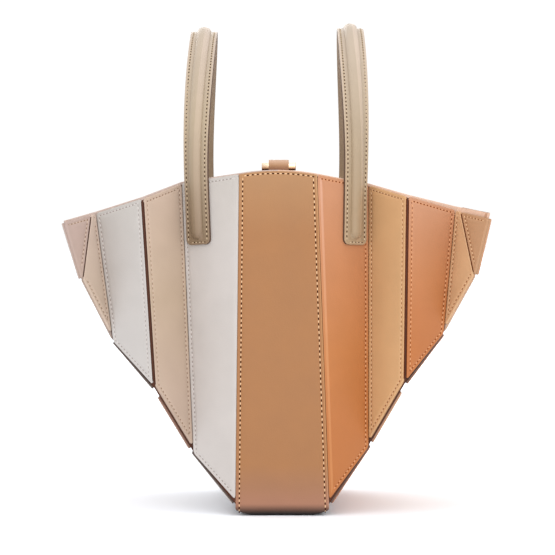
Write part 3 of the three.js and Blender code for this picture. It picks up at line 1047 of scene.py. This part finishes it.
def handle_line(side):
    """Near half of a handle's middle line: points, the turn of its face about Z, half its width."""
    place = {key: value * MM for key, value in HANDLE_PLACES[side].items()}
    origin, _, _, normal, _, thickness = plate_of(nodes[f"{side}_near_main_panel"])
    level = origin.dot(normal) + thickness + GAP

    def on_panel(x, z):
        """Point just above the main panel."""
        return Vector((x, (level - normal.x * x - normal.z * z) / normal.y, z))

    def station(at, ease):
        """Row of the line, with a share of the foot's turn and width."""
        width = HANDLE_WIDTH["top"] + (HANDLE_WIDTH["foot"] - HANDLE_WIDTH["top"]) * ease
        return at, panel_turn * ease, width / 2

    foot = on_panel(place["foot_x"], HANDLE_FOOT_Z)
    leave = on_panel(place["leave_x"], HANDLE_LEAVE_Z)
    top = Vector((place["top_x"], 0, place["top_z"]))
    lean = Vector((place["outward"], HANDLE_LEAN["inward"], HANDLE_LEAN["rise"]))
    pulls = [leave, leave + lean, top - Vector((0, HANDLE_CROWN, 0)), top]
    panel_turn = math.atan2(normal.x, -normal.y)
    line = [station(foot.lerp(leave, k / FOOT_STEPS), 1.0) for k in range(FOOT_STEPS)]
    for k in range(ARCH_STEPS + 1):
        t = k / ARCH_STEPS
        weights = [(1 - t) ** 3, 3 * t * (1 - t) ** 2, 3 * t * t * (1 - t), t**3]
        at = sum((p * w for p, w in zip(pulls, weights)), Vector((0, 0, 0)))
        line.append(station(at, 1 - t * t * (3 - 2 * t)))
    return line


def handle_stations(side):
    """Places along a handle's near half: run from its end, middle, half width, ways across and out."""
    line = handle_line(side)
    runs = runs_along([at for at, _, _ in line])
    marks = [inset for inset, _ in edge_profile(HANDLE_STITCH["inset"])[:-1]]
    for k in range(HANDLE_CORE_END_STEPS + 1):
        marks.append(HANDLE_CORE_START + HANDLE_CORE_END * k / HANDLE_CORE_END_STEPS)
    steps = round((runs[-1] - marks[-1]) / HANDLE_STEP)
    marks += [marks[-1] + (runs[-1] - marks[-1]) * k / steps for k in range(1, steps + 1)]
    stations = []
    k = 0
    for mark in sorted(marks):
        while k < len(runs) - 2 and runs[k + 1] < mark:
            k += 1
        at = line[k][0].lerp(line[k + 1][0], (mark - runs[k]) / (runs[k + 1] - runs[k]))
        behind = line[max(0, k - ALONG_STEPS["behind"])][0]
        ahead = line[min(len(line) - 1, k + ALONG_STEPS["ahead"])][0]
        along = (ahead - behind).normalized()
        if mark == max(marks):
            along = Vector((0, 1, 0))
        _, turn, half = line[k]
        short = max(0.0, HANDLE_FOOT_CORNER - mark)
        half += math.sqrt(HANDLE_FOOT_CORNER**2 - short**2) - HANDLE_FOOT_CORNER
        across = Vector((math.cos(turn), math.sin(turn), 0))
        across = (across - along * across.dot(along)).normalized()
        stations.append((mark, at, half, across, across.cross(along)))
    return stations


def handle_section(profile, run, half):
    """Offsets across a strap and heights of its face, at a distance from its end."""
    flange = []
    for inset, _ in profile:
        flange.append((half - inset, HANDLE_FLANGE + profile_rise(profile, min(inset, run))))
    core = []
    squeeze = min(1.0, (flange[-1][0] - HANDLE_CORE_CLEAR) / (HANDLE_CORE / 2))
    begun = min(1.0, max(0.0, (run - HANDLE_CORE_START) / HANDLE_CORE_END))
    for k in range(HANDLE_CORE_STEPS + 1):
        turn = math.pi * k / HANDLE_CORE_STEPS
        dome = math.sqrt(max(0.0, math.sin(turn) ** 2 - (1 - begun) ** 2))
        height = HANDLE_FLANGE + profile_rise(profile, run) + HANDLE_CORE_RISE * dome
        core.append((-squeeze * HANDLE_CORE / 2 * math.cos(turn), height))
    left = [(-offset, height) for offset, height in flange]
    return left + core + flange[::-1]


def stitch_handle(piece, stations):
    """Stitches along both edges of a strap and across its ends."""
    inset, pitch = HANDLE_STITCH["inset"], HANDLE_STITCH["pitch"]
    height = HANDLE_FLANGE - GROOVE
    for sign in (-1, 1):
        line = []
        for run, at, half, across, out in stations:
            if run >= inset:
                line.append((at + across * (sign * (half - inset)) + out * height, out))
        stitch_line(piece, with_far(line), pitch)
    _, at, half, across, out = min(stations, key=lambda station: abs(station[0] - inset))
    reach = half - inset - HANDLE_END_CLEAR
    line = [(at + across * (reach * share) + out * height, out) for share in (-1, 0, 1)]
    for end in (line, far_line(line)):
        stitch_line(piece, end, pitch)


def make_handle(side):
    """Strap with flat stitched edges and a raised round core, from the near wall to the far one."""
    node_name = f"{side}_handle"
    profile = edge_profile(HANDLE_STITCH["inset"])[:-1]
    stations = handle_stations(side)
    face, back = [], []
    for run, at, half, across, out in stations:
        line = handle_section(profile, run, half)
        face.append([at + across * offset + out * height for offset, height in line])
        back.append([at + across * offset for offset, _ in line])
    face, back = with_far(face), with_far(back)
    columns = len(face[0])

    def slot_at(i, j):
        """Finish of a face of the strap: painted highlights on the edges and on the core's right half,
        the paler stitch line (partly a painted highlight), or the rest.
        """
        ring = min(i, len(face) - 2 - i, j, columns - 2 - j)
        if ring < GROOVE_RINGS[0] or j in HANDLE_PAINTED_HIGHLIGHT:
            return PAINTED_HIGHLIGHT
        return PRESSED_AND_HIGHLIGHT if ring in GROOVE_RINGS else FACE

    piece = Piece()
    piece.add_shell(face, back, slot_at)
    stitch_handle(piece, stations)
    strap_finishes = finishes(HANDLE_LEATHER[side], handle_paint)
    settle(piece.make(node_name + "_leather", strap_finishes), node_name)


# Body and closure


def welded(node):
    """Mesh of a frame node with its flat faces whole."""
    mesh = bmesh.new()
    mesh.from_mesh(node.data)
    bmesh.ops.remove_doubles(mesh, verts=mesh.verts, dist=WELD["frame"])
    flat = math.radians(FLAT_ANGLE)
    bmesh.ops.dissolve_limit(mesh, angle_limit=flat, verts=mesh.verts, edges=mesh.edges)
    bmesh.ops.recalc_face_normals(mesh, faces=mesh.faces)
    return mesh


def finish_solid(mesh, node_name, materials):
    """The piece of a node whose mesh was worked on."""
    name = node_name + "_made"
    data = bpy.data.meshes.new(name)
    for face in mesh.faces:
        face.smooth = True
    mesh.to_mesh(data)
    mesh.free()
    settle(put(name, data, materials, SMOOTH_ANGLE["frame"]), node_name)


def split_below_rim(mesh, rim_points, outside):
    """Cut the outer walls at a short way below the rim; returns the faces above the cut."""
    cuts = set()
    for edge in list(mesh.edges):
        on_rim = [v for v in edge.verts if v in rim_points]
        if len(on_rim) == 1 and all(face.material_index == outside for face in edge.link_faces):
            reach = RIM_STRIP["wings" if abs(on_rim[0].co.x) > WINGS_FROM else "middle"]
            cuts.add(bmesh.utils.edge_split(edge, on_rim[0], reach / edge.calc_length())[1])
    for face in list(mesh.faces):
        ends = [v for v in face.verts if v in cuts]
        if len(ends) == 2:
            bmesh.utils.face_split(face, *ends)
    return [face for face in mesh.faces if all(v in rim_points or v in cuts for v in face.verts)]


def make_body():
    """Inner leather: brown where the seams look on to it, lined inside, with a pale rounded rim."""
    inside, seam, left_rim, right_rim, rim, strip = range(6)
    mesh = welded(nodes["body"])
    top = [f for f in mesh.faces if f.normal.z > RIM_FACING]
    top = [f for f in top if min(v.co.z for v in f.verts) > RIM_ABOVE]
    for face in mesh.faces:
        centre = face.calc_center_median()
        if abs(face.normal.y) > WALL_FACING:
            outer = face.normal.y * centre.y > 0
        else:
            outer = face.normal.x * centre.x + face.normal.z * (centre.z - MIDDLE_Z) > 0
        face.material_index = seam if outer else inside
    for face in top:
        face.material_index = rim
    pale = split_below_rim(mesh, {v for f in top for v in f.verts}, seam)
    pale += [face for face in mesh.faces if abs(face.calc_center_median().x) > PALE_FROM]
    for face in pale:
        if face.material_index == seam:
            face.material_index = strip
    for sides, offset in (({seam, strip}, RIM_OUTER_BEVEL), ({inside}, RIM_INNER_BEVEL)):
        edges = []
        for edge in mesh.edges:
            met = {face.material_index for face in edge.link_faces}
            if rim in met and met & sides:
                edges.append(edge)
        bmesh.ops.bevel(mesh, geom=edges, offset=offset, material=rim, **BEVEL)
    for face in mesh.faces:
        if face.material_index in (rim, strip):
            face.material_index = left_rim if face.calc_center_median().x < 0 else right_rim
    lining = leather_material("lining_leather", LINING_TONES)
    finish_solid(mesh, "body", [lining, seam_paint, rim_paints["left"], rim_paints["right"]])


def make_closure():
    """Leather tab looped round a gold bar, edges rounded; the tab's painted shade and the bar's painted
    reflection come from their tones by height.
    """
    materials = {
        "closure_tab": leather_material("tab_leather", TAB_PAINTED_SHADE_TONES),
        "closure_bar": gold_material(),
    }
    for name, material in materials.items():
        mesh = welded(nodes[name])
        sharp = [e for e in mesh.edges if e.calc_face_angle(0) > math.radians(SHARP_ANGLE)]
        bmesh.ops.bevel(mesh, geom=sharp, offset=CLOSURE_BEVEL[name], **BEVEL)
        finish_solid(mesh, name, [material])


for node_name, node in nodes.items():
    if node_name.endswith("_panel"):
        make_panel(node)
make_band("centre_band")
make_handle("left")
make_handle("right")
make_body()
make_closure()


# Camera, floor and light


def add_camera():
    """Camera level with the horizon of the picture, aimed at its middle."""
    camera = bpy.data.objects.new("camera", bpy.data.cameras.new("camera"))
    bpy.context.scene.collection.objects.link(camera)
    height = (FLOOR_PX - HORIZON_PX) * MM_PER_PX * MM
    aim = Vector((0, -HALF_LENGTH, (FLOOR_PX - IMAGE_PX / 2) * MM_PER_PX * MM))
    camera.location = (0, -HALF_LENGTH - CAMERA_DISTANCE, height)
    camera.rotation_mode = "QUATERNION"
    reach = aim - camera.location
    camera.rotation_quaternion = reach.to_track_quat("-Z", "Y")
    camera.data.sensor_width = SENSOR_MM
    camera.data.lens = SENSOR_MM * reach.length / (IMAGE_PX * MM_PER_PX * MM)
    camera.data.clip_end = CLIP_END
    bpy.context.scene.camera = camera


def add_floor():
    """Pale floor that reaches far past the picture."""
    mesh = bpy.data.meshes.new("floor")
    corners = [(FLOOR_REACH * x, FLOOR_REACH * y, 0) for x, y in ((-1, -1), (1, -1), (1, 1), (-1, 1))]
    mesh.from_pydata(corners, [], [(0, 1, 2, 3)])
    floor = bpy.data.objects.new("floor", mesh)
    bpy.context.scene.collection.objects.link(floor)
    material, _, surface = shader("studio_floor")
    surface.inputs["Base Color"].default_value = FLOOR_COLOUR
    surface.inputs["Roughness"].default_value = FLOOR_ROUGHNESS
    mesh.materials.append(material)


def add_softbox(name, location, size, watts):
    """Lamp with a wide face, turned to the bag."""
    light = bpy.data.lights.new(name, "AREA")
    light.shape = "RECTANGLE"
    light.size, light.size_y = size
    light.energy = watts
    lamp = bpy.data.objects.new(name, light)
    lamp.location = location
    lamp.rotation_mode = "QUATERNION"
    lamp.rotation_quaternion = (Vector(AIM) - Vector(location)).to_track_quat("-Z", "Y")
    bpy.context.scene.collection.objects.link(lamp)


def add_world():
    """White sky, brighter overhead than at the horizon."""
    world = bpy.data.worlds.new("studio")
    world.use_nodes = True
    tree = world.node_tree
    height = add_height(tree, add_place(tree, "Generated"))
    strength = add_range(tree, height, (SKY["horizon"], SKY["zenith"]))
    sky = tree.nodes["Background"]
    sky.inputs["Color"].default_value = (1, 1, 1, 1)
    tree.links.new(strength, sky.inputs["Strength"])
    bpy.context.scene.world = world


add_camera()
add_floor()
add_world()
for softbox in SOFTBOXES:
    add_softbox(**softbox)
bpy.context.scene.view_settings.view_transform = "Standard"
